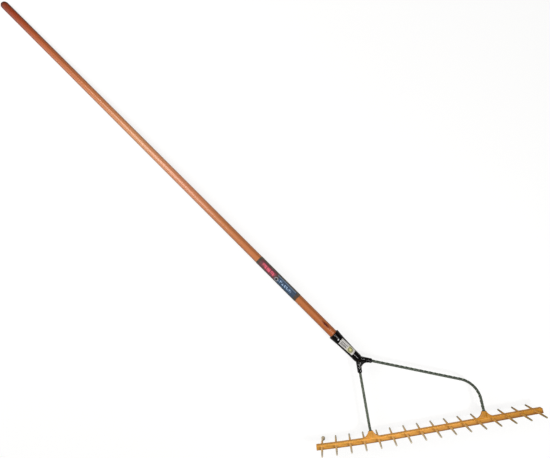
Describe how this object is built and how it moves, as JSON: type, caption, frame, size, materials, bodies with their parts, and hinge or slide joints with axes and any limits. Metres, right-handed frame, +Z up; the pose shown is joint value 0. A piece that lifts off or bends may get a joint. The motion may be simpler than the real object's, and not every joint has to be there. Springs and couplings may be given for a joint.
{
  "type": "hay rake",
  "caption": "Hay rake with a long wooden handle, a black forked socket, two coated stays and a skewed plastic bar with teeth on both faces.",
  "frame": {"origin": "on the handle's axis, where the bare round grip begins, just above the film sleeve", "axes": "+Y along the handle towards its free end, +Z up out of the rake's plane along the teeth, +X to the right"},
  "size_m": [0.582, 2.3066, 0.131],
  "materials": {
    "handle_wood": "stained and varnished",
    "sleeve_film": "printed shrink film",
    "socket_plastic": "glossy moulded black",
    "sticker_film": "printed film",
    "screw_steel": "zinc plated",
    "stay_steel": "bare drawn tube",
    "stay_coat": "extruded dark green coat with nubs",
    "bar_plastic": "semi-gloss moulded orange-yellow",
    "tooth_plastic": "moulded, greyed by use"
  },
  "bodies": {
    "root": {"handle": "handle_wood", "printed_sleeve": "sleeve_film", "fork_socket": "socket_plastic", "socket_sticker": "sticker_film", "fixing_screw": "screw_steel", "left_stay_tube": "stay_steel", "right_stay_tube": "stay_steel", "left_stay_coat": "stay_coat", "right_stay_coat": "stay_coat", "rake_bar": "bar_plastic", "tooth_01": "tooth_plastic", "tooth_02": "tooth_plastic", "tooth_03": "tooth_plastic", "tooth_04": "tooth_plastic", "tooth_05": "tooth_plastic", "tooth_06": "tooth_plastic", "tooth_07": "tooth_plastic", "tooth_08": "tooth_plastic", "tooth_09": "tooth_plastic", "tooth_10": "tooth_plastic", "tooth_11": "tooth_plastic", "tooth_12": "tooth_plastic", "tooth_13": "tooth_plastic", "tooth_14": "tooth_plastic", "tooth_15": "tooth_plastic", "tooth_16": "tooth_plastic"}
  },
  "joints": []
}
